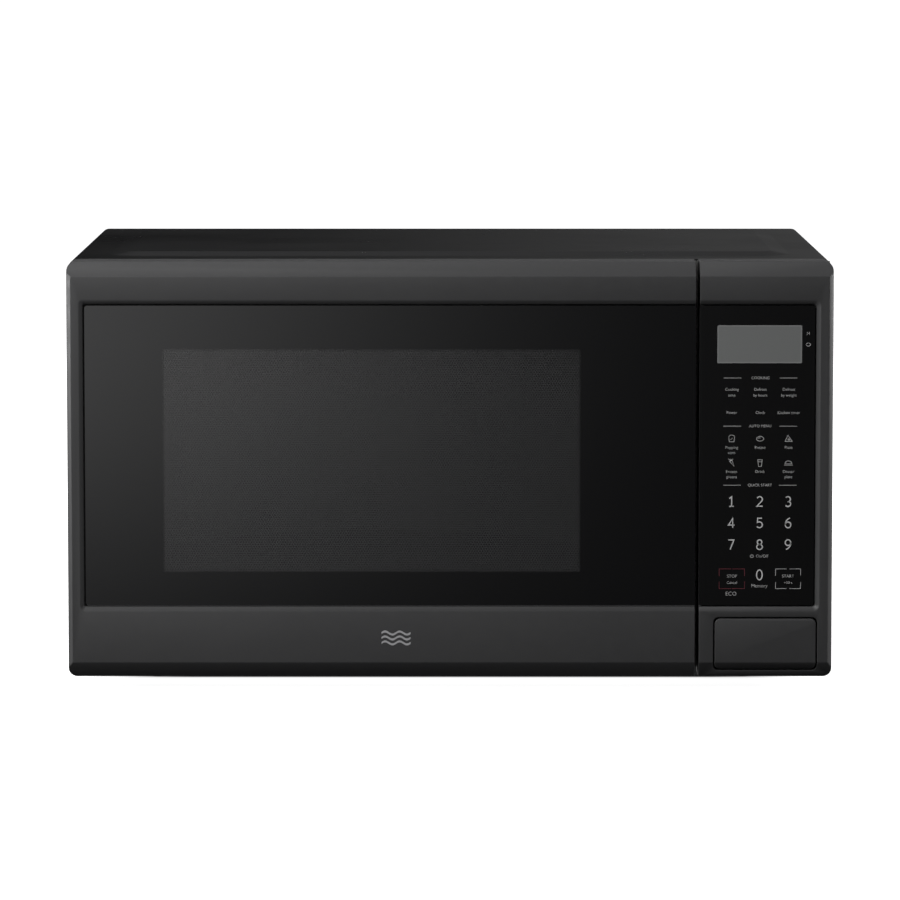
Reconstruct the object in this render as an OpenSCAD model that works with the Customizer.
// Countertop microwave oven, built as the assembly of its separate pieces.
// X runs to the right, the door faces -Y, Z is up, and the origin is on the resting surface under the middle.

/* [Overall] */
// Width over the casing
overall_w = 554; // [462:1:665]
// Depth from the door's face to the end of the cord gland
overall_d = 434; // [362:1:520]
// Height from the resting surface to the raised field on top
overall_h = 313; // [290:1:376]
// Height of the front panel above the resting surface
panel_lift = 10; // [8:0.5:14]
// Thickness of the sheet steel pieces
sheet = 0.8; // [0.6:0.1:1.2]

/* [Casing] */
// How far the casing stands out past the front panel on each side
casing_proud = 1; // [0.5:0.1:2]
// Bend radius along the long top edges
casing_bend = 6; // [3:0.5:12]
// Height of the raised field on top
field_h = 2.5; // [1:0.1:4]
// Sloped border of the raised field
field_slope = 13; // [6:0.5:18]
// Inset of the raised field from the sides
field_side = 27; // [20:1:50]
// Inset of the raised field from the front edge of the casing
field_front = 40; // [25:1:60]
// Inset of the raised field from the rear edge of the casing
field_back = 40; // [25:1:60]
// Gap between the door's back and the casing's front edge
casing_gap = 3; // [2:0.5:5]
// Width of the casing's turned-in rear flange
rear_flange = 14; // [10:1:20]
// How far the cord gland stands out of the rear panel
gland_proud = 4; // [2:0.5:6]
// Radius of each foot where it rests
foot_r = 12; // [8:0.5:16]
// Distance of the front feet behind the front face
front_foot_back = 92; // [80:1:130]
// Distance of the rear feet in front of the rear panel
rear_foot_in = 36; // [25:1:60]
// Inset of the feet from the sides
foot_side = 62; // [40:1:90]

/* [Front panel] */
// Thickness of the door
door_t = 41; // [36:0.5:49]
// Wall of the plastic mouldings
moulding_wall = 2.5; // [2:0.1:3]
// Height of the bevel along the top
top_bevel_h = 10.1; // [6:0.1:14]
// Depth of the bevel along the top
top_bevel_d = 12; // [8:0.5:15]
// Height of the bevel along the bottom
bottom_bevel_h = 11.3; // [6:0.1:14]
// Depth of the bevel along the bottom
bottom_bevel_d = 9; // [6:0.5:12]
// Bevel of the outer side edges
side_bevel = 3.2; // [1:0.1:5]
// Radius of the outer corners, seen from the front
panel_corner_r = 6; // [3:0.5:9]
// Height of the flat rail above the glass
top_rail = 17.2; // [12:0.1:30]
// Height of the flat rail below the glass
bottom_rail = 37.5; // [25:0.1:45]
// Width of the stile left of the door glass
door_stile = 9; // [6:0.5:16]
// Width of the stile right of the control glass
control_stile = 9.4; // [6:0.1:14]
// Depth of the recess that holds the glass
recess = 2; // [1:0.1:3]
// Width of the sloped wall around the recess
recess_slope = 3; // [2:0.1:4]
// Dark gap around the glass
glass_gap = 1; // [0.5:0.1:1.5]

/* [Door] */
// Gap between door and control panel
door_gap = 2.8; // [2:0.1:4]
// Gap between the door's back and the front frame
seal_gap = 1.5; // [1.2:0.1:2.5]
// Thickness of the door glass
glass_t = 3.2; // [2.5:0.1:4]
// Window's distance from the door's left edge
window_left = 69.2; // [55:0.1:90]
// Window's distance from the door's right edge
window_right = 83.1; // [70:0.1:110]
// Window's distance above the front panel's bottom
window_low = 77; // [65:1:95]
// Window's distance below the front panel's top
window_high = 63.1; // [55:0.1:80]
// Depth of the choke rim around the screen
choke_d = 13; // [10:0.5:15]

/* [Hinge] */
// Distance of the hinge axis from the door's left side and back
hinge_inset = 12; // [10:0.5:13]
// Hinge pin diameter
pin_d = 6; // [4:0.5:7.5]
// Radial clearance of the pin in its bush
pin_clearance = 0.05; // [0.02:0.01:0.1]
// Height of each hinge bush
bush_h = 8; // [6:0.5:10]
// Bush wall
bush_wall = 2.5; // [2:0.1:3]
// Hinge arm thickness
arm_t = 2; // [1.5:0.1:3]
// Distance of each hinge arm from the door's end
arm_inset = 10; // [9:0.5:14]

/* [Control panel] */
// Width of the control panel
control_w = 96.2; // [90:0.1:115]
// Display width
display_w = 61.1; // [40:0.1:66]
// Display height
display_h = 27.5; // [18:0.1:32]
// Display's distance from the control panel's left edge
display_left = 12.4; // [8:0.1:16]
// Display's distance below the front panel's top
display_drop = 45.3; // [42:0.1:60]
// Push button width
button_w = 73.1; // [60:0.1:76]
// Push button height
button_h = 37.1; // [31:0.1:40]
// Push button's distance from the control panel's left edge
button_left = 11.5; // [9:0.1:14]
// Push button's distance above the front panel's bottom
button_low = 6.1; // [4:0.1:8]
// Gap around the push button
button_gap = 1; // [0.6:0.1:1.5]
// Travel of the push button
button_travel = 6; // [4:0.5:7]
// Depth of the push button's skirt
button_d = 12; // [9:0.5:13]

/* [Latch] */
// Width of each hook
hook_w = 6; // [5:0.5:8]
// Height of each hook
hook_h = 12; // [9:0.5:15]
// Depth of the barb under each hook
barb = 4; // [3:0.5:4.5]
// Lower hook's height above the front panel's bottom
lower_hook = 62; // [55:1:75]
// Distance between the two hooks
hook_pitch = 150; // [110:1:170]
// Distance of the hooks from the door's right edge
hook_inset = 9; // [8:0.5:11]
// Reach of the lever's lifting arm
lift_reach = 28; // [26:1:32]
// Reach of the lever's pushed arm
push_reach = 34; // [30:1:36]
// Lever pin radius
lever_pin_r = 2; // [1.5:0.1:2.4]

/* [Cavity] */
// Space left of the cavity
cavity_left = 31; // [28:1:45]
// Width of the electronics bay right of the cavity
bay_w = 143; // [138:1:180]
// Space under the cavity floor
under_floor = 26; // [24:1:34]
// Space over the cavity ceiling
over_ceiling = 25; // [22:1:35]
// Space behind the cavity
behind_cavity = 12; // [8:1:25]

/* [Turntable] */
// Gap between the tray's rim and the nearest cavity wall
tray_margin = 17; // [8:0.5:30]
// Height of the glass tray
tray_h = 19; // [12:0.5:25]
// Glass thickness of the tray
tray_t = 5; // [4:0.5:6]
// Roller diameter
roller_d = 16; // [13:0.5:19]
// Roller width
roller_w = 7; // [5:0.5:9]
// Distance of the roller track inside the tray's rim
roller_inset = 62; // [50:1:80]
// Play of the rollers above and below
roller_play = 0.2; // [0.1:0.05:0.4]
// Shaft diameter of the turntable motor
shaft_d = 7; // [6:0.5:8]

/* [Electronics] */
// Fan blade sweep radius
fan_r = 48; // [40:0.5:52]
// Clearance around the fan blades
fan_clearance = 3; // [2:0.5:5]
// Transformer length along the depth
transformer_l = 84; // [70:1:92]
// Width across the transformer
transformer_w = 80; // [67:1:84]
// Transformer height
transformer_h = 74; // [62:1:86]
// Magnetron frame, square across
magnetron_w = 88; // [74:1:94]
// Magnetron frame length
magnetron_l = 46; // [40:1:50]
// Waveguide depth across the bay
waveguide_d = 40; // [34:1:42]

/* [Hidden] */
$fn = 64;
CUT = 1;       // how far a cutting shape runs past what it cuts
FIT = 0.3;     // gap between pieces that lie beside each other

// Colours
graphite = [0.17, 0.17, 0.18];
satin_black = [0.1, 0.1, 0.105];
gloss_black = [0.03, 0.03, 0.035];
zinc = [0.7, 0.71, 0.72];
enamel = [0.78, 0.78, 0.76];
nylon = [0.88, 0.87, 0.83];
copper = [0.72, 0.38, 0.2];
board_green = [0.1, 0.32, 0.18];
dark_plastic = [0.14, 0.14, 0.15];

// Front panel
panel_x = overall_w / 2 - casing_proud;
front_y = -overall_d / 2;
panel_z0 = panel_lift;
panel_z1 = overall_h - field_h + 0.5;
door_back = front_y + door_t;
frame_y = door_back + seal_gap;
door_x0 = -panel_x;
control_x0 = panel_x - control_w;
door_x1 = control_x0 - door_gap;
recess_y = front_y + recess;
recess_z0 = panel_z0 + bottom_bevel_h + bottom_rail;
recess_z1 = panel_z1 - top_bevel_h - top_rail;
glass_edge = recess_slope + glass_gap;
ledge_y = recess_y + glass_t;
hollow_y = ledge_y + moulding_wall;
control_glass_t = 2;
key_sheet_t = 0.5;

// Window, in the door's plane
win_x0 = door_x0 + window_left;
win_x1 = door_x1 - window_right;
win_z0 = panel_z0 + window_low;
win_z1 = panel_z1 - window_high;

// Casing
cover_x = overall_w / 2;
cover_y0 = door_back + casing_gap;
cover_y1 = overall_d / 2 - gland_proud;
cover_z0 = panel_z0 + 2;
cover_z1 = overall_h - field_h;
inner_x = cover_x - sheet - FIT;
rear_y = cover_y1 - 2 * sheet;
chassis_x = panel_x - 2;
chassis_z1 = cover_z1 - sheet - FIT;

// Cavity
cav_x0 = -cover_x + cavity_left;
cav_x1 = cover_x - bay_w;
cav_y0 = frame_y + sheet;
cav_y1 = rear_y - behind_cavity;
cav_z0 = cover_z0 + under_floor;
cav_z1 = cover_z1 - over_ceiling;
bay_x0 = cav_x1 + sheet;

// Hinge
hinge_x = door_x0 + hinge_inset;
hinge_y = door_back - hinge_inset;
arm_w = 2 * hinge_inset - 12;
low_arm = panel_z0 + arm_inset;
high_arm = panel_z1 - arm_inset - arm_t;
bush_lift = 0.6;
pin_l = bush_h + bush_lift + 1;

// Latch
hook_x1 = door_x1 - hook_inset;
hook_x0 = hook_x1 - hook_w;
hook_z = panel_z0 + lower_hook;
lever_y = cav_y0 + 15.7;
lever_z = hook_z - 4;
lever_hub_r = lever_pin_r + 2;
hook_end = lever_y + lift_reach + 2;
lift = button_travel * lift_reach / push_reach;
stem_z = lever_z - push_reach;
stem_x = control_x0 + 16.2;
stem_w = 6;
button_x0 = control_x0 + button_left;
button_x1 = button_x0 + button_w;
button_z0 = panel_z0 + button_low;
button_z1 = button_z0 + button_h;
button_wall = 2.5;
button_back = front_y + button_d;
bridge_y = button_back + button_travel + 3;
bridge_t = 2.5;
spring_r = 5;
spring_wire = 0.8;
spring_x = (button_x0 + button_x1) / 2;
spring_z = (button_z0 + button_z1) / 2;
latch_bar_y = hollow_y + 6;
latch_bar_t = 8;
latch_bar_z1 = hook_z + hook_pitch + hook_h + 12;
latch_spring_l = 28;
latch_spring_r = 3;
latch_spring_wire = 0.6;

// Display and boards
disp_x0 = control_x0 + display_left;
disp_x1 = disp_x0 + display_w;
disp_z1 = panel_z1 - display_drop;
disp_z0 = disp_z1 - display_h;
board_x0 = control_x0 + moulding_wall + 3;
board_x1 = panel_x - moulding_wall - 3;
board_y = ledge_y + 15;
board_t = 1.6;
board_z0 = button_z1 + 12;
board_z1 = recess_z1 - 3;

// Turntable
tt_x = (cav_x0 + cav_x1) / 2;
tt_y = (cav_y0 + cav_y1) / 2;
tray_r = min(cav_x1 - cav_x0, cav_y1 - cav_y0) / 2 - tray_margin;
track_r = tray_r - roller_inset;
roller_r = roller_d / 2 - roller_play;
roller_z = cav_z0 + roller_d / 2;
tray_z = cav_z0 + roller_d;
shaft_r = shaft_d / 2;
coupler_r = 18;
coupler_z = cav_z0 + 2;
axle_r = 1.8;

// Electronics bay
bay_mid = (bay_x0 + inner_x) / 2;
wave_x1 = bay_x0 + waveguide_d;
mag_y = cav_y1 - 118;
lamp_ahead = 74;
mag_z = cav_z1 - 80;
fan_x = bay_x0 + 72;
fan_z = cav_z1 - 86;
fan_y = rear_y - 19;
fan_bore = fan_r + fan_clearance;
duct_y = hook_end + 36;
lamp_y = mag_y - lamp_ahead;
lamp_z = cav_z0 + 140;
cap_ahead = 60;
cutout_side = 20;
gland_x = inner_x - 34;
gland_z = cover_z0 + 48;
screw_r = 1.8;

// ---- shapes ----

// A box given by its lowest and highest corners
module block(lo, hi) {
    translate(lo) cube(hi - lo);
}

// A flat outline in (Y, Z), drawn out along X
module along_x(x0, x1) {
    translate([x0, 0, 0]) rotate([90, 0, 90]) linear_extrude(x1 - x0) children();
}

// A flat outline in (X, Z), drawn out along Y
module along_y(y0, y1) {
    translate([0, y1, 0]) rotate([90, 0, 0]) linear_extrude(y1 - y0) children();
}

// A round rod along X, Y or Z
module rod_x(x0, x1, y, z, r) {
    translate([x0, y, z]) rotate([0, 90, 0]) cylinder(h = x1 - x0, r = r);
}
module rod_y(x, y0, y1, z, r) {
    translate([x, y0, z]) rotate([-90, 0, 0]) cylinder(h = y1 - y0, r = r);
}
module rod_z(x, y, z0, z1, r) {
    translate([x, y, z0]) cylinder(h = z1 - z0, r = r);
}

function arc(c, r, a0, a1, n = 6) =
    [for (i = [0:n]) c + r * [cos(a0 + (a1 - a0) * i / n), sin(a0 + (a1 - a0) * i / n)]];

// Rectangle with four round corners, as points
function rounded(lo, hi, r) = concat(
    arc([hi[0] - r, lo[1] + r], r, -90, 0), arc([hi[0] - r, hi[1] - r], r, 0, 90),
    arc([lo[0] + r, hi[1] - r], r, 90, 180), arc([lo[0] + r, lo[1] + r], r, 180, 270));

// A grid of round holes through a sheet: nx by nz rods at a pitch, centred on a point
module hole_grid_x(x0, x1, y, z, ny, nz, pitch, r) {
    for (i = [0:ny - 1], k = [0:nz - 1])
        rod_x(x0, x1, y + (i - (ny - 1) / 2) * pitch, z + (k - (nz - 1) / 2) * pitch, r, $fn = 16);
}

// Coil spring along Z from 0 to its length: a round wire swept along a helix
module coil_spring(length, r, wire_r, turns) {
    sides = 6;
    rings = turns * 14;
    points = [for (i = [0:rings]) let (a = 360 * turns * i / rings,
                  z = wire_r + (length - 2 * wire_r) * i / rings)
              for (s = [0:sides - 1]) let (b = 360 * s / sides)
              [(r + wire_r * cos(b)) * cos(a), (r + wire_r * cos(b)) * sin(a), z + wire_r * sin(b)]];
    walls = [for (i = [0:rings - 1], s = [0:sides - 1]) let (t = (s + 1) % sides)
             [i * sides + s, (i + 1) * sides + s, (i + 1) * sides + t, i * sides + t]];
    ends = [[for (s = [0:sides - 1]) s], [for (s = [sides - 1:-1:0]) rings * sides + s]];
    polyhedron(points, concat(walls, ends), convexity = 10);
}

// ---- front panel blanks ----

// Side outline of door and control panel, from the front face back to y1
function panel_profile(y1) = [
    [front_y, panel_z0 + bottom_bevel_h], [front_y + bottom_bevel_d, panel_z0], [y1, panel_z0],
    [y1, panel_z1], [front_y + top_bevel_d, panel_z1], [front_y, panel_z1 - top_bevel_h]];

// The hollow behind the front wall, a moulding wall inside the outline
function hollow_profile(y1) = [
    [hollow_y, panel_z0 + bottom_bevel_h + 2 * moulding_wall],
    [hollow_y + bottom_bevel_d, panel_z0 + moulding_wall], [y1, panel_z0 + moulding_wall],
    [y1, panel_z1 - moulding_wall], [hollow_y + top_bevel_d, panel_z1 - moulding_wall],
    [hollow_y, panel_z1 - top_bevel_h - moulding_wall]];

// Solid door blank: bevelled outline, round left corners, and a round left back edge
module door_blank() {
    intersection() {
        along_x(door_x0, door_x1) polygon(panel_profile(door_back));
        along_y(front_y - CUT, door_back + CUT) polygon(concat(
            [[door_x1, panel_z0], [door_x1, panel_z1]],
            arc([door_x0 + panel_corner_r, panel_z1 - panel_corner_r], panel_corner_r, 90, 180),
            arc([door_x0 + panel_corner_r, panel_z0 + panel_corner_r], panel_corner_r, 180, 270)));
        translate([0, 0, panel_z0 - CUT]) linear_extrude(panel_z1 - panel_z0 + 2 * CUT) door_plan();
    }
}

// The door seen from above, with the back edge rounded about the hinge axis
module door_plan() {
    polygon(concat(
        [[door_x0 + side_bevel, front_y], [door_x1, front_y], [door_x1, door_back]],
        arc([hinge_x, hinge_y], hinge_inset, 90, 180, 12),
        [[door_x0, front_y + side_bevel]]));
}

// Solid control panel blank from the front face back to the front frame
module control_blank() {
    intersection() {
        along_x(control_x0, panel_x) polygon(panel_profile(frame_y));
        along_y(front_y - CUT, frame_y + CUT) polygon(concat(
            [[control_x0, panel_z0]],
            arc([panel_x - panel_corner_r, panel_z0 + panel_corner_r], panel_corner_r, -90, 0),
            arc([panel_x - panel_corner_r, panel_z1 - panel_corner_r], panel_corner_r, 0, 90),
            [[control_x0, panel_z1]]));
        translate([0, 0, panel_z0 - CUT]) linear_extrude(panel_z1 - panel_z0 + 2 * CUT)
            polygon([[control_x0, front_y], [panel_x - side_bevel, front_y],
                [panel_x, front_y + side_bevel], [panel_x, frame_y], [control_x0, frame_y]]);
    }
}

// Recess with sloped walls, cut from the front between x0 and x1
module recess_cut(x0, x1, r) {
    hull() {
        along_y(front_y - 0.02, front_y)
            polygon(rounded([x0, recess_z0], [x1, recess_z1], r));
        along_y(front_y, recess_y)
            polygon(rounded([x0 + recess_slope, recess_z0 + recess_slope],
                [x1 - recess_slope, recess_z1 - recess_slope], r - recess_slope / 2));
    }
    along_y(recess_y - CUT, ledge_y)
        polygon(rounded([x0 + recess_slope, recess_z0 + recess_slope],
            [x1 - recess_slope, recess_z1 - recess_slope], r - recess_slope / 2));
}

module button_outline(grow) {
    polygon(rounded([button_x0 - grow, button_z0 - grow], [button_x1 + grow, button_z1 + grow], 4));
}

// ---- casing and chassis ----

// Cross-section of the casing in (X, Z), shrunk by a distance, running below its lower edge by drop
module casing_outline(shrink, drop) {
    x = cover_x - shrink;
    z = cover_z1 - shrink;
    r = casing_bend - shrink;
    polygon(concat([[-x, cover_z0 - drop], [x, cover_z0 - drop]],
        arc([x - r, z - r], r, 0, 90, 8), arc([-x + r, z - r], r, 90, 180, 8)));
}

// The raised field on top, with its sloped border, lowered by a distance
module raised_field(lower) {
    lo = [-cover_x + field_side, cover_y0 + field_front];
    hi = [cover_x - field_side, cover_y1 - field_back];
    slope = [field_slope, field_slope];
    hull() {
        translate([0, 0, cover_z1 - lower - 0.4]) linear_extrude(0.4) polygon(rounded(lo, hi, 24));
        translate([0, 0, cover_z1 - lower - 0.4])
            linear_extrude(0.4 + field_h) polygon(rounded(lo + slope, hi - slope, 24 - field_slope));
    }
}

module outer_cover() color(satin_black) {
    vent_y = cav_y1 - 40;
    difference() {
        union() {
            along_y(cover_y0, cover_y1) casing_outline(0, 0);
            raised_field(0);
        }
        along_y(cover_y0 - CUT, cover_y1 - sheet) casing_outline(sheet, CUT);
        raised_field(sheet);
        along_y(cover_y1 - 2 * sheet, cover_y1 + CUT)
            polygon([[-cover_x + rear_flange, cover_z0 - CUT], [cover_x - rear_flange, cover_z0 - CUT],
                [cover_x - rear_flange, cover_z1 - rear_flange], [-cover_x + rear_flange, cover_z1 - rear_flange]]);
        // Air slots low on the right and high on the left
        for (i = [0:9])
            block([cover_x - 2 * sheet, vent_y - 8 * i, cover_z0 + 60],
                [cover_x + CUT, vent_y - 8 * i + 3, cover_z0 + 110]);
        for (i = [0:9])
            block([-cover_x - CUT, vent_y - 8 * i, cover_z1 - 70],
                [-cover_x + 2 * sheet, vent_y - 8 * i + 3, cover_z1 - 40]);
        screw_places() rod_y(0, cover_y1 - 3, cover_y1 + CUT, 0, screw_r + 0.2);
    }
}

// The four casing screws: two high, two low on the rear flange
module screw_places() {
    for (sx = [-1, 1], z = [cover_z0 + 40, cover_z1 - 30])
        translate([sx * (cover_x - rear_flange / 2), 0, z]) children();
}

module casing_screws() color(zinc) {
    screw_places() {
        rod_y(0, cover_y1 - 9, cover_y1 + 0.5, 0, screw_r);
        rod_y(0, cover_y1, cover_y1 + 2.2, 0, 4);
    }
}

module foot_places() {
    for (x = [-1, 1] * (cover_x - foot_side), y = [front_y + front_foot_back, rear_y - rear_foot_in])
        translate([x, y, 0]) children();
}

module base_plate() color(zinc) {
    difference() {
        union() {
            block([-chassis_x, cav_y0, cover_z0], [chassis_x, rear_y - FIT, cover_z0 + sheet]);
            for (s = [-1, 1])
                block([s * chassis_x - (s > 0 ? sheet : 0), cav_y0, cover_z0],
                    [s * chassis_x + (s > 0 ? 0 : sheet), rear_y - FIT, cover_z0 + 11]);
            // Stiffening ribs pressed up between the feet
            for (x = [-120, 0, 120])
                block([tt_x + x - 3, tt_y + 45, cover_z0], [tt_x + x + 3, cav_y1 - 40, cover_z0 + 4]);
        }
        foot_places() rod_z(0, 0, 0, cover_z0 + 12, 3.2);
        for (i = [0:8])
            block([bay_mid - 40 + 10 * i, cav_y0 + 12, cover_z0 - CUT],
                [bay_mid - 36 + 10 * i, cav_y0 + 42, cover_z0 + 2]);
    }
}

module feet() color(dark_plastic) {
    foot_places() {
        cylinder(h = cover_z0, r1 = foot_r, r2 = foot_r + 1.5);
        cylinder(h = cover_z0 + 5, r = 3);
        translate([0, 0, cover_z0 + sheet + 0.1]) cylinder(h = 1.6, r = 5.5);
    }
}

module rear_panel() color(zinc) {
    difference() {
        union() {
            along_y(rear_y, rear_y + sheet) casing_outline(sheet + FIT, -sheet);
            for (s = [-1, 1])
                block([s * inner_x - (s > 0 ? sheet : 0), rear_y - 12, cover_z0 + 14],
                    [s * inner_x + (s > 0 ? 0 : sheet), rear_y + sheet, chassis_z1 - casing_bend]);
        }
        screw_places() rod_y(0, rear_y - 3, rear_y + 2, 0, screw_r + 0.2);
        block([gland_x - 9, rear_y - CUT, gland_z - 7], [gland_x + 9, rear_y + 2, gland_z + 7]);
        // Fan air holes
        for (i = [-6:6], k = [-6:6])
            if (norm([i, k]) * 7 < fan_r - 4)
                rod_y(fan_x + i * 7, rear_y - CUT, rear_y + 2, fan_z + k * 7, 2.3, $fn = 16);
    }
}

module cord_gland() color(dark_plastic) {
    difference() {
        union() {
            block([gland_x - 9 + 0.1, rear_y - 3, gland_z - 7 + 0.1],
                [gland_x + 9 - 0.1, rear_y + sheet + 1, gland_z + 7 - 0.1]);
            block([gland_x - 12, rear_y + sheet, gland_z - 10],
                [gland_x + 12, cover_y1 + gland_proud, gland_z + 10]);
        }
        rod_y(gland_x, rear_y - 4, cover_y1 + gland_proud + CUT, gland_z, 4);
    }
}

module front_frame() color(zinc) {
    difference() {
        union() {
            block([-chassis_x, frame_y, cover_z0 + sheet + FIT], [panel_x - FIT, frame_y + sheet, chassis_z1]);
            block([-chassis_x + casing_bend, frame_y, chassis_z1 - sheet],
                [chassis_x - casing_bend, frame_y + 14, chassis_z1]);
        }
        block([cav_x0, frame_y - CUT, cav_z0], [cav_x1, frame_y + CUT + sheet, cav_z1]);
        block([control_x0 + 7, frame_y - CUT, panel_z0 + 18], [panel_x - 8, frame_y + CUT + sheet, panel_z1 - 15]);
        for (z = [low_arm, high_arm])
            block([hinge_x - arm_w / 2 - 0.5, frame_y - CUT, z - 0.5],
                [hinge_x + arm_w / 2 + 0.5, frame_y + CUT + sheet, z + arm_t + 0.5]);
        for (z = [hook_z, hook_z + hook_pitch])
            block([hook_x0 - 2, frame_y - CUT, z - 1],
                [hook_x1 + 6, frame_y + CUT + sheet, z + hook_h + lift + 1.5]);
    }
}

// ---- cavity ----

module cavity_walls() color(enamel) {
    difference() {
        block([cav_x0 - sheet, cav_y0, cav_z0 - sheet], [cav_x1 + sheet, cav_y1, cav_z1 + sheet]);
        block([cav_x0, cav_y0 - CUT, cav_z0 - 2 * sheet], [cav_x1, cav_y1 + CUT, cav_z1]);
        // Waveguide mouth, lamp holes, and air holes in and out
        block([cav_x1 - CUT, mag_y - 32, mag_z - 26], [cav_x1 + 2, mag_y + 32, mag_z + 26]);
        hole_grid_x(cav_x1 - CUT, cav_x1 + 2, lamp_y, lamp_z, 5, 5, 5, 1.6);
        hole_grid_x(cav_x1 - CUT, cav_x1 + 2, duct_y + 36, cav_z1 - 40, 9, 5, 7, 2);
        hole_grid_x(cav_x0 - 2, cav_x0 + CUT, cav_y1 - 70, cav_z1 - 40, 9, 5, 7, 2);
    }
}

module cavity_floor() color(enamel) {
    difference() {
        block([cav_x0, cav_y0, cav_z0 - sheet], [cav_x1, cav_y1, cav_z0]);
        rod_z(tt_x, tt_y, cav_z0 - 3, cav_z0 + 2, shaft_r + 3);
    }
}

module cavity_back() color(enamel) {
    block([cav_x0 - sheet, cav_y1, cav_z0 - sheet], [cav_x1 + sheet, cav_y1 + sheet, cav_z1 + sheet]);
}

// ---- turntable ----

module turntable_motor() color(zinc) {
    top = cav_z0 - sheet;
    difference() {
        union() {
            rod_z(tt_x, tt_y, top - 15, top, 24);
            translate([tt_x - 32, tt_y - 7, top - 1.2]) cube([64, 14, 1.2]);
            translate([tt_x + 18, tt_y - 9, top - 14]) cube([12, 18, 9]);
        }
        rod_z(tt_x, tt_y, top - 11, top + CUT, shaft_r + 0.05);
    }
}

module turntable_shaft() color(nylon) {
    rod_z(tt_x, tt_y, cav_z0 - sheet - 10.5, coupler_z + 8, shaft_r);
}

// Three-armed hub on the shaft
module turntable_coupler() color(nylon) {
    difference() {
        translate([tt_x, tt_y, coupler_z]) union() {
            cylinder(h = 10, r = shaft_r + 4);
            for (i = [0:2]) rotate(120 * i) translate([0, -3.5, 0]) cube([coupler_r, 7, 9]);
        }
        rod_z(tt_x, tt_y, coupler_z - CUT, coupler_z + 8, shaft_r);
    }
}

// Round glass tray with a raised rim, and three lugs under it between the coupler's arms
module turntable_tray() color([0.8, 0.88, 0.88, 0.5]) {
    translate([tt_x, tt_y, tray_z]) {
        rotate_extrude($fn = 96) polygon([[0, 0], [tray_r - 14, 0], [tray_r, tray_h - 3],
            [tray_r, tray_h], [tray_r - tray_t, tray_h], [tray_r - 16, tray_t], [0, tray_t]]);
        for (i = [0:2]) rotate(60 + 120 * i) translate([coupler_r - 7, -5, -6]) cube([8, 10, 7]);
    }
}

module roller_ring() color(nylon) {
    translate([tt_x, tt_y, roller_z]) {
        difference() {
            translate([0, 0, -3]) cylinder(h = 6, r = track_r - roller_w / 2 - 3);
            translate([0, 0, -4]) cylinder(h = 8, r = track_r - roller_w / 2 - 11);
        }
        for (i = [0:2]) rotate(90 + 120 * i)
            rod_x(track_r - roller_w / 2 - 6, track_r + roller_w / 2 + 2, 0, 0, axle_r);
    }
}

// One of the three rollers, which turns on its radial axle
module roller(i) color(nylon) {
    translate([tt_x, tt_y, roller_z]) rotate(90 + 120 * i) difference() {
        rod_x(track_r - roller_w / 2, track_r + roller_w / 2, 0, 0, roller_r);
        rod_x(track_r - roller_w, track_r + roller_w, 0, 0, axle_r + 0.06);
    }
}

// ---- microwave source, power, air and light ----

module waveguide() color(zinc) {
    difference() {
        block([bay_x0, mag_y - 44, mag_z - 46], [wave_x1, mag_y + 44, mag_z + 46]);
        block([bay_x0 - CUT, mag_y - 44 + sheet, mag_z - 46 + sheet],
            [wave_x1 - sheet, mag_y + 44 - sheet, mag_z + 46 - sheet]);
        rod_x(wave_x1 - 3, wave_x1 + CUT, mag_y, mag_z, 16);
    }
}

module waveguide_cover() color([0.82, 0.74, 0.6]) {
    block([cav_x1 - 0.6, mag_y - 38, mag_z - 32], [cav_x1, mag_y + 38, mag_z + 32]);
}

module magnetron_antenna() color(nylon) {
    rod_x(wave_x1 - 24, wave_x1 + 2, mag_y, mag_z, 8);
}

// Steel yoke, open at front and back for the cooling air
module magnetron_frame() color(zinc) {
    h = magnetron_w / 2;
    difference() {
        block([wave_x1, mag_y - h, mag_z - h], [wave_x1 + magnetron_l, mag_y + h, mag_z + h]);
        block([wave_x1 + 2, mag_y - h - CUT, mag_z - h + 2],
            [wave_x1 + magnetron_l - 2, mag_y + h + CUT, mag_z + h - 2]);
        rod_x(wave_x1 - CUT, wave_x1 + 3, mag_y, mag_z, 9);
    }
}

module magnetron_fins() color([0.75, 0.76, 0.78]) {
    h = magnetron_w / 2 - 3;
    fins = 6;
    step = (magnetron_l - 14) / (fins - 1);
    rod_x(wave_x1 + 4, wave_x1 + magnetron_l - 4, mag_y, mag_z, 19);
    for (i = [0:fins - 1])
        block([wave_x1 + 7 + step * i - 0.5, mag_y - h, mag_z - h],
            [wave_x1 + 7 + step * i + 0.5, mag_y + h, mag_z + h]);
}

module magnetron_filter() color(zinc) {
    x = wave_x1 + magnetron_l;
    block([x, mag_y - 30, mag_z - 24], [x + 30, mag_y + 30, mag_z + 24]);
    for (s = [-1, 1]) rod_y(x + 15, mag_y + 30 - CUT, mag_y + 36, mag_z + s * 8, 3);
}

tr_x = bay_x0 + 45;
tr_y = cav_y0 + 60;

module transformer_core() color([0.45, 0.46, 0.48]) {
    z = cover_z0 + sheet;
    limb = 15;
    difference() {
        union() {
            block([tr_x, tr_y, z + 2], [tr_x + transformer_w, tr_y + transformer_l, z + transformer_h]);
            block([tr_x - 4, tr_y + 4, z], [tr_x + transformer_w + 4, tr_y + transformer_l - 4, z + 2]);
        }
        for (y = [tr_y + limb, tr_y + transformer_l / 2 + limb / 2])
            block([tr_x - CUT, y, z + limb + 2],
                [tr_x + transformer_w + CUT, y + (transformer_l - 3 * limb) / 2, z + transformer_h - limb]);
    }
}

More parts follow.
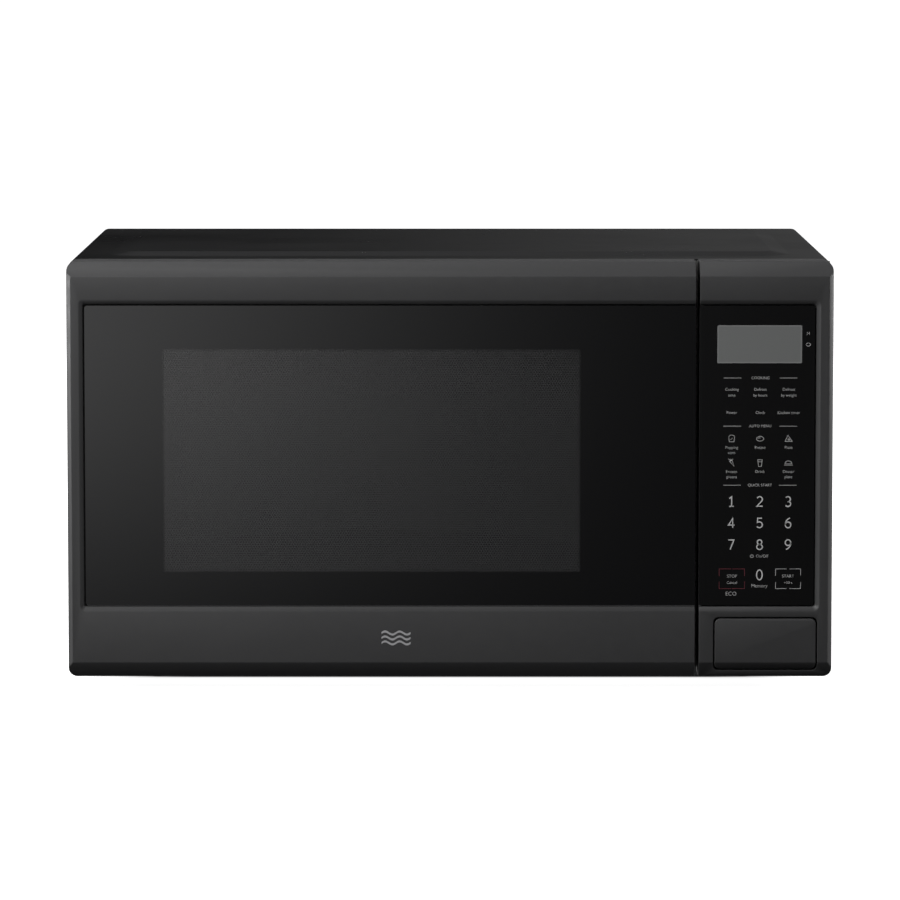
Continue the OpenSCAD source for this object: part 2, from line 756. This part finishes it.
module transformer_windings() color(copper) {
    z = cover_z0 + sheet;
    limb = 15;
    gap = (transformer_l - 3 * limb) / 2;
    for (part = [[0, 0.42], [0.52, 0.96]])
        difference() {
            h = transformer_h - 2 * limb - 2;
            block([tr_x - 8, tr_y + limb + 1, z + limb + 3 + h * part[0]],
                [tr_x + transformer_w + 8, tr_y + transformer_l - limb - 1, z + limb + 2 + h * part[1]]);
            block([tr_x, tr_y + limb + gap, z], [tr_x + transformer_w, tr_y + 2 * limb + gap, z + transformer_h]);
        }
}

cap_x = bay_x0 + 72;
cap_y = rear_y - rear_foot_in - cap_ahead;

module hv_capacitor() color(zinc) {
    z = cover_z0 + sheet + 1;
    hull() for (y = [0, 26]) rod_x(cap_x - 40, cap_x + 40, cap_y + y, z + 17, 16, $fn = 40);
    for (y = [4, 22]) rod_x(cap_x + 40 - CUT, cap_x + 48, cap_y + y, z + 17, 3);
}

// Strap over the capacitor with a foot on each side
module capacitor_clamp() color(zinc) {
    z = cover_z0 + sheet;
    difference() {
        union() {
            block([cap_x - 8, cap_y - 18, z], [cap_x + 8, cap_y + 44, z + 36]);
            block([cap_x - 8, cap_y - 28, z], [cap_x + 8, cap_y + 54, z + 1.2]);
        }
        block([cap_x - 9, cap_y - 16.6, z - CUT], [cap_x + 9, cap_y + 42.6, z + 34.6]);
    }
}

module hv_diode() color(dark_plastic) {
    z = cover_z0 + sheet;
    rod_x(cap_x - 12, cap_x + 12, cap_y - 42, z + 6, 4);
    rod_x(cap_x - 30, cap_x + 30, cap_y - 42, z + 6, 0.8);
    block([cap_x - 32, cap_y - 45, z], [cap_x - 29, cap_y - 39, z + 8]);
    block([cap_x + 29, cap_y - 45, z], [cap_x + 32, cap_y - 39, z + 8]);
}

module fan_shroud() color(dark_plastic) {
    h = fan_bore + 7;
    difference() {
        block([fan_x - h, rear_y - 30, fan_z - h], [fan_x + h, rear_y - FIT, fan_z + h]);
        rod_y(fan_x, rear_y - 32, rear_y + CUT, fan_z, fan_bore);
    }
    // Two straps carry the motor in front of the blades
    for (s = [-1, 1])
        block([fan_x + s * 18 - 4, rear_y - 36, fan_z - h], [fan_x + s * 18 + 4, rear_y - 30, fan_z + h]);
}

module fan_motor() color(zinc) {
    y = rear_y - 36;
    difference() {
        union() {
            rod_y(fan_x, y - 24, y, fan_z, 17);
            block([fan_x - 26, y - 18, fan_z - 20], [fan_x + 26, y - 6, fan_z + 20]);
        }
        rod_y(fan_x, y - 20, y + CUT, fan_z, 2.05);
    }
}

// Hub, shaft and five pitched blades
module fan_blade() color(nylon) {
    rod_y(fan_x, rear_y - 55, fan_y + 9, fan_z, 2);
    difference() {
        rod_y(fan_x, fan_y - 8, fan_y + 8, fan_z, 12);
        rod_y(fan_x, fan_y - 9, fan_y + 4, fan_z, 2);
    }
    for (i = [0:4])
        translate([fan_x, fan_y, fan_z]) rotate([0, 72 * i, 0])
            translate([10, 0, 0]) rotate([35, 0, 0]) translate([0, -0.7, -9]) cube([fan_r - 13, 1.4, 18]);
}

// Duct that leads the warm air from the magnetron into the cavity's air holes
module air_duct() color(dark_plastic) {
    y1 = mag_y - 50;
    z0 = cav_z1 - 64;
    z1 = cav_z1 - 16;
    difference() {
        block([bay_x0, duct_y, z0], [bay_x0 + 70, y1, z1]);
        block([bay_x0 - CUT, duct_y + 2, z0 + 2], [bay_x0 + 68, y1 + CUT, z1 - 2]);
    }
}

module lamp_holder() color(nylon) {
    difference() {
        union() {
            block([bay_x0, lamp_y - 20, lamp_z - 20], [bay_x0 + 1.5, lamp_y + 20, lamp_z + 20]);
            block([bay_x0, lamp_y + 17, lamp_z - 12], [bay_x0 + 26, lamp_y + 20, lamp_z + 12]);
        }
        block([bay_x0 - CUT, lamp_y - 13, lamp_z - 13], [bay_x0 + 3, lamp_y + 13, lamp_z + 13]);
    }
}

module lamp_bulb() color([1, 0.97, 0.88, 0.6]) {
    rod_y(bay_x0 + 14, lamp_y - 14, lamp_y + 9, lamp_z, 8);
    rod_y(bay_x0 + 14, lamp_y + 9, lamp_y + 17, lamp_z, 6);
}

module thermal_cutouts() color(dark_plastic) {
    h = magnetron_w / 2;
    rod_z(wave_x1 + magnetron_l / 2, mag_y, mag_z + h, mag_z + h + 8, 8);
    rod_z(tt_x + cutout_side, tt_y, cav_z1 + sheet, cav_z1 + sheet + 8, 8);
}

// Mains filter board on posts over the cavity ceiling
module filter_board() color(board_green) {
    x = cav_x1 - 80;
    y = cav_y1 - 90;
    z = cav_z1 + sheet;
    block([x, y, z + 5], [x + 66, y + 78, z + 6.6]);
    for (dx = [5, 61], dy = [5, 73]) rod_z(x + dx, y + dy, z, z + 5.5, 2.5);
    rod_z(x + 22, y + 26, z + 6, z + 16, 11);
    block([x + 42, y + 10, z + 6], [x + 58, y + 36, z + 17]);
    rod_x(x + 12, x + 34, y + 62, z + 10.5, 4);
}

// ---- control panel ----

module control_fascia() color(graphite) {
    difference() {
        control_blank();
        intersection() {
            along_x(control_x0 + moulding_wall, panel_x - moulding_wall) polygon(hollow_profile(frame_y + CUT));
            along_y(front_y, frame_y + 2 * CUT) polygon(rounded(
                [control_x0 + moulding_wall, panel_z0 + moulding_wall],
                [panel_x - moulding_wall, panel_z1 - moulding_wall], panel_corner_r - moulding_wall));
        }
        // The recess runs out through the left edge, where the control glass starts
        recess_cut(control_x0 - 20, panel_x - control_stile, 4);
        along_y(front_y - CUT, hollow_y + bottom_bevel_d + CUT) button_outline(button_gap);
        along_y(front_y - CUT, hollow_y + CUT)
            polygon(rounded([disp_x0 + 1, disp_z0 + 1], [disp_x1 - 1, disp_z1 - 1], 1));
    }
    // Bridge behind the button: it guides the stems and carries the spring
    difference() {
        block([control_x0 + moulding_wall - 0.5, bridge_y, panel_z0 + moulding_wall - 0.5],
            [panel_x - moulding_wall + 0.5, bridge_y + bridge_t, button_z1 + 8]);
        for (x = [stem_x, button_x1 - 12])
            block([x - stem_w / 2 - 0.3, bridge_y - CUT, stem_z - 4.3],
                [x + stem_w / 2 + 0.3, bridge_y + bridge_t + CUT, stem_z + 4.3]);
    }
}

module control_glass() color(gloss_black) {
    difference() {
        along_y(recess_y, recess_y + control_glass_t) polygon(concat(
            [[control_x0, recess_z0 + glass_edge]],
            arc([panel_x - control_stile - glass_edge - 2, recess_z0 + glass_edge + 2], 2, -90, 0),
            arc([panel_x - control_stile - glass_edge - 2, recess_z1 - glass_edge - 2], 2, 0, 90),
            [[control_x0, recess_z1 - glass_edge]]));
        along_y(recess_y - CUT, recess_y + 3) polygon(rounded([disp_x0, disp_z0], [disp_x1, disp_z1], 0.8));
    }
}

module display_lens() color([0.36, 0.37, 0.37]) {
    along_y(recess_y + 0.2, recess_y + control_glass_t) polygon(rounded(
        [disp_x0 + 0.05, disp_z0 + 0.05], [disp_x1 - 0.05, disp_z1 - 0.05], 0.8));
}

module display_module() color([0.4, 0.42, 0.4]) {
    block([disp_x0 + 2, ledge_y - 0.6, disp_z0 + 2], [disp_x1 - 2, board_y, disp_z1 - 2]);
}

// Thin key sheet behind the printed glass, below the display
module key_membrane() color(nylon) {
    y = recess_y + control_glass_t;
    block([control_x0 + 4, y, recess_z0 + 10], [panel_x - control_stile - 8, y + key_sheet_t, disp_z0 - 3]);
}

module control_board() color(board_green) {
    block([board_x0, board_y, board_z0], [board_x1, board_y + board_t, board_z1]);
    for (z = [board_z0 + 8, board_z1 - 8])
        rod_y(board_x0 + 6, hollow_y, board_y + CUT, z, 3);
}

module board_components() color(dark_plastic) {
    y = board_y + board_t;
    x = board_x0;
    z = board_z0;
    block([x + 10, y, z + 12], [x + 40, y + 14, z + 44]);
    block([x + 50, y, z + 16], [x + 66, y + 12, z + 36]);
    block([x + 12, y, z + 70], [x + 30, y + 9, z + 100]);
    for (k = [0:2]) rod_y(x + 52, y, y + 12, z + 60 + 16 * k, 5);
    block([x + 8, y, z + 120], [x + 70, y + 6, z + 128]);
}

module door_release_button() color(graphite) {
    difference() {
        intersection() {
            control_blank();
            along_y(front_y - CUT, button_back) button_outline(0);
        }
        along_y(front_y + button_wall + 5, button_back + CUT) polygon(rounded(
            [button_x0 + button_wall, button_z0 + button_wall + 3],
            [button_x1 - button_wall, button_z1 - button_wall], 2));
    }
    tip_y = lever_y - 3;
    block([stem_x - stem_w / 2, front_y + button_wall + 4, stem_z - 4], [stem_x + stem_w / 2, tip_y - 6, stem_z + 4]);
    block([stem_x - stem_w / 2, tip_y - 7, stem_z - 1.5], [stem_x + stem_w / 2, tip_y - 0.5, stem_z + 1.5]);
    block([button_x1 - 12 - stem_w / 2, front_y + button_wall + 4, stem_z - 4],
        [button_x1 - 12 + stem_w / 2, bridge_y + 10, stem_z + 4]);
}

module button_spring() color(zinc) {
    y0 = front_y + button_wall + 5;
    translate([spring_x, y0, spring_z]) rotate([-90, 0, 0])
        coil_spring(bridge_y - y0, spring_r, spring_wire / 2, 6);
}

// ---- latch and interlock ----

// Bracket behind the front frame: slots for the hooks, ears for the lever pin, a wall for the switches
module interlock_bracket() color(dark_plastic) {
    x0 = hook_x0 - 5;
    ear = stem_x + stem_w / 2 + 2;
    difference() {
        union() {
            block([x0, cav_y0, lever_z - 12], [ear + 2, cav_y0 + 2, hook_z + hook_pitch + 34]);
            block([hook_x1 + 7, cav_y0, hook_z + hook_h + lift + 5],
                [hook_x1 + 9, hook_end + 30, hook_z + hook_pitch + 34]);
            for (x = [x0, ear])
                block([x, cav_y0, lever_z - 8], [x + 2, lever_y + 6, lever_z + 6]);
            rod_x(x0, ear + 2, lever_y, lever_z, lever_pin_r);
        }
        for (z = [hook_z, hook_z + hook_pitch])
            block([hook_x0 - 2, cav_y0 - CUT, z - barb - 1],
                [hook_x1 + 6, cav_y0 + 3, z + hook_h + lift + 1.5]);
    }
}

module door_switches() color(dark_plastic) {
    for (z = [hook_z + hook_pitch - 8, hook_z + hook_pitch + 10])
        difference() {
            union() {
                block([hook_x0, hook_end + 4, z], [hook_x1 + 7, hook_end + 24, z + 16]);
                block([hook_x0 + 1, hook_end + 0.4, z + 3], [hook_x0 + 4, hook_end + 5, z + 6]);
            }
            rod_x(hook_x0 - CUT, hook_x1 + 8, hook_end + 8, z + 8, 1.5);
        }
}

// Bell crank: the button pushes its lower arm back, its rear arm lifts the hooks
module latch_lever() color(nylon) {
    difference() {
        union() {
            rod_x(hook_x0 - 2.5, stem_x + stem_w / 2 + 1.5, lever_y, lever_z, lever_hub_r);
            block([hook_x0, lever_y, lever_z - 1.5], [hook_x1, lever_y + lift_reach, lever_z + 3.5]);
            block([stem_x - stem_w / 2, lever_y - 3, lever_z - push_reach - 3],
                [stem_x + stem_w / 2, lever_y + 2, lever_z]);
        }
        rod_x(hook_x0 - 4, stem_x + stem_w / 2 + 4, lever_y, lever_z, lever_pin_r + 0.05);
    }
}

// One-piece latch: an upright bar in the door with two barbed hooks through its back
module latch_hooks() color(nylon) {
    difference() {
        union() {
            block([hook_x0 - 2, latch_bar_y, hook_z - 10], [hook_x1 + 2, latch_bar_y + latch_bar_t, latch_bar_z1]);
            for (z = [hook_z, hook_z + hook_pitch]) {
                block([hook_x0, latch_bar_y + 1, z], [hook_x1, hook_end, z + hook_h]);
                along_x(hook_x0, hook_x1) polygon([[cav_y0 + 1, z + 1], [cav_y0 + 1, z - barb],
                    [cav_y0 + 4, z - barb], [cav_y0 + 9, z + 1]]);
            }
        }
        // The bar is lightened between the hooks
        block([hook_x0, latch_bar_y - CUT, hook_z + hook_h + 8],
            [hook_x1, latch_bar_y + latch_bar_t + CUT, hook_z + hook_pitch - 8]);
    }
}

module latch_spring() color(zinc) {
    translate([(hook_x0 + hook_x1) / 2, latch_bar_y + latch_bar_t / 2, latch_bar_z1])
        coil_spring(latch_spring_l, latch_spring_r, latch_spring_wire / 2, 9);
}

// ---- door ----

// Shapes of one hinge: arm from the front frame to the pin, with a foot behind the frame
module hinge_bracket(z, up) {
    arm_z1 = z + arm_t;
    block([hinge_x - arm_w / 2, hinge_y, z], [hinge_x + arm_w / 2, cav_y0 + 2, arm_z1]);
    rod_z(hinge_x, hinge_y, z, arm_z1, arm_w / 2);
    block([hinge_x - arm_w / 2 - 1, cav_y0, up ? z : arm_z1 - 24],
        [hinge_x + arm_w / 2 + 8, cav_y0 + 2, up ? z + 24 : arm_z1]);
    if (up) rod_z(hinge_x, hinge_y, z, arm_z1 + pin_l, pin_d / 2);
    else rod_z(hinge_x, hinge_y, z - pin_l, arm_z1, pin_d / 2);
}

module hinge_lower() color(zinc) hinge_bracket(low_arm, true);
module hinge_upper() color(zinc) hinge_bracket(high_arm, false);

bush_z = [low_arm + arm_t + bush_lift, high_arm - bush_lift - bush_h];

module hinge_bushes() color(nylon) {
    for (z = bush_z)
        difference() {
            rod_z(hinge_x, hinge_y, z, z + bush_h, pin_d / 2 + bush_wall);
            rod_z(hinge_x, hinge_y, z - CUT, z + bush_h + CUT, pin_d / 2 + pin_clearance);
        }
}

module door_frame() color(graphite) {
    r = pin_d / 2 + bush_wall;
    rib_z = latch_bar_z1 + latch_spring_l;
    difference() {
        union() {
            difference() {
                door_blank();
                intersection() {
                    along_x(door_x0 + moulding_wall, door_x1 - moulding_wall) polygon(hollow_profile(door_back + CUT));
                    along_y(front_y, door_back + 2 * CUT) polygon(rounded(
                        [door_x0 + moulding_wall, panel_z0 + moulding_wall],
                        [door_x1 - moulding_wall, panel_z1 - moulding_wall], panel_corner_r - moulding_wall));
                }
            }
            // Blocks that hold the hinge bushes, and the latch spring's seat
            for (z = bush_z)
                block([door_x0 + moulding_wall - 0.5, hollow_y - 0.5, z],
                    [hinge_x + r + 2, hinge_y + r + 1, z + bush_h]);
            block([hook_x0 - 4, hollow_y - 0.5, rib_z], [door_x1 - moulding_wall + 0.5, latch_bar_y + latch_bar_t + 2, rib_z + 3]);
        }
        // The recess runs out through the right edge, so the glass reaches it
        recess_cut(door_x0 + door_stile, door_x1 + 20, 3);
        // Opening behind the window
        along_y(recess_y, hollow_y + CUT)
            polygon(rounded([win_x0 - 6, win_z0 - 6], [win_x1 + 6, win_z1 + 6], 4));
        for (z = bush_z) rod_z(hinge_x, hinge_y, z - CUT, z + bush_h + CUT, r);
        // Notches that let the hinge arms swing out through the left wall
        for (z = [low_arm, high_arm])
            block([door_x0 - CUT, hinge_y - arm_w / 2 - 3, z - 1], [hinge_x, door_back + CUT, z + arm_t + 1]);
    }
}

module door_glass() color(gloss_black) {
    x0 = door_x0 + door_stile + glass_edge;
    z0 = recess_z0 + glass_edge;
    z1 = recess_z1 - glass_edge;
    along_y(recess_y, ledge_y) polygon(concat([[door_x1, z0], [door_x1, z1]],
        arc([x0 + 2, z1 - 2], 2, 90, 180), arc([x0 + 2, z0 + 2], 2, 180, 270)));
}

// Extent of the screen pan, which covers the cavity mouth with its choke rim
lap_left = 10;
lap_right = 20;
lap_low = 16;
lap_high = 14;
pin_room = 2.5;
scr_x0 = max(cav_x0 - lap_left, hinge_x + pin_d / 2 + bush_wall + pin_room);
scr_x1 = cav_x1 + lap_right;
scr_z0 = max(cav_z0 - lap_low, panel_z0 + bottom_bevel_h + moulding_wall);
scr_z1 = min(cav_z1 + lap_high, panel_z1 - top_bevel_h - moulding_wall);
scr_y = door_back - 8;

module door_screen() color([0.2, 0.2, 0.21]) {
    difference() {
        block([scr_x0, scr_y - choke_d, scr_z0], [scr_x1, scr_y + sheet, scr_z1]);
        block([scr_x0 + sheet, scr_y - choke_d - CUT, scr_z0 + sheet], [scr_x1 - sheet, scr_y, scr_z1 - sheet]);
    }
}

module inner_window() color([0.6, 0.62, 0.62, 0.4]) {
    along_y(scr_y + sheet, scr_y + sheet + 0.5)
        polygon(rounded([win_x0 - 14, win_z0 - 14], [win_x1 + 14, win_z1 + 14], 6));
}

// Ring that closes the choke on the cavity side, with slots for the hooks and notches at the hinges
module choke_cover() color(satin_black) {
    difference() {
        intersection() {
            along_y(scr_y + sheet, door_back) polygon(rounded(
                [door_x0 + moulding_wall + FIT, panel_z0 + moulding_wall + FIT],
                [door_x1 - moulding_wall - FIT, panel_z1 - moulding_wall - FIT], 3));
            translate([0, 0, panel_z0]) linear_extrude(panel_z1 - panel_z0) door_plan();
        }
        along_y(scr_y, door_back - moulding_wall) polygon([[door_x0, panel_z0 + 5], [door_x1 - 5, panel_z0 + 5],
            [door_x1 - 5, panel_z1 - 5], [door_x0, panel_z1 - 5]]);
        along_y(scr_y, door_back + CUT)
            polygon(rounded([win_x0 - 18, win_z0 - 18], [win_x1 + 18, win_z1 + 18], 8));
        for (z = [hook_z, hook_z + hook_pitch])
            block([hook_x0 - 1, scr_y, z - barb - 1], [hook_x1 + 1, door_back + CUT, z + hook_h + lift + 1]);
        for (z = [low_arm - 2, bush_z[1] - 2])
            block([door_x0 - CUT, scr_y, z], [hinge_x + hinge_inset / 2 + 1, door_back + CUT, z + bush_h + arm_t + 5]);
    }
}

outer_cover();
base_plate();
rear_panel();
feet();
casing_screws();
front_frame();
cavity_walls();
cavity_floor();
cavity_back();
waveguide();
waveguide_cover();
lamp_holder();
lamp_bulb();
air_duct();
magnetron_frame();
magnetron_fins();
magnetron_filter();
magnetron_antenna();
transformer_core();
transformer_windings();
hv_capacitor();
capacitor_clamp();
hv_diode();
fan_shroud();
fan_motor();
fan_blade();
turntable_motor();
turntable_shaft();
turntable_coupler();
turntable_tray();
roller_ring();
roller(0);  // roller_1
roller(1);  // roller_2
roller(2);  // roller_3
thermal_cutouts();
filter_board();
cord_gland();
control_fascia();
control_glass();
display_lens();
display_module();
key_membrane();
control_board();
board_components();
button_spring();
door_release_button();
interlock_bracket();
door_switches();
latch_lever();
hinge_upper();
hinge_lower();
door_frame();
door_glass();
door_screen();
inner_window();
choke_cover();
hinge_bushes();
latch_spring();
latch_hooks();
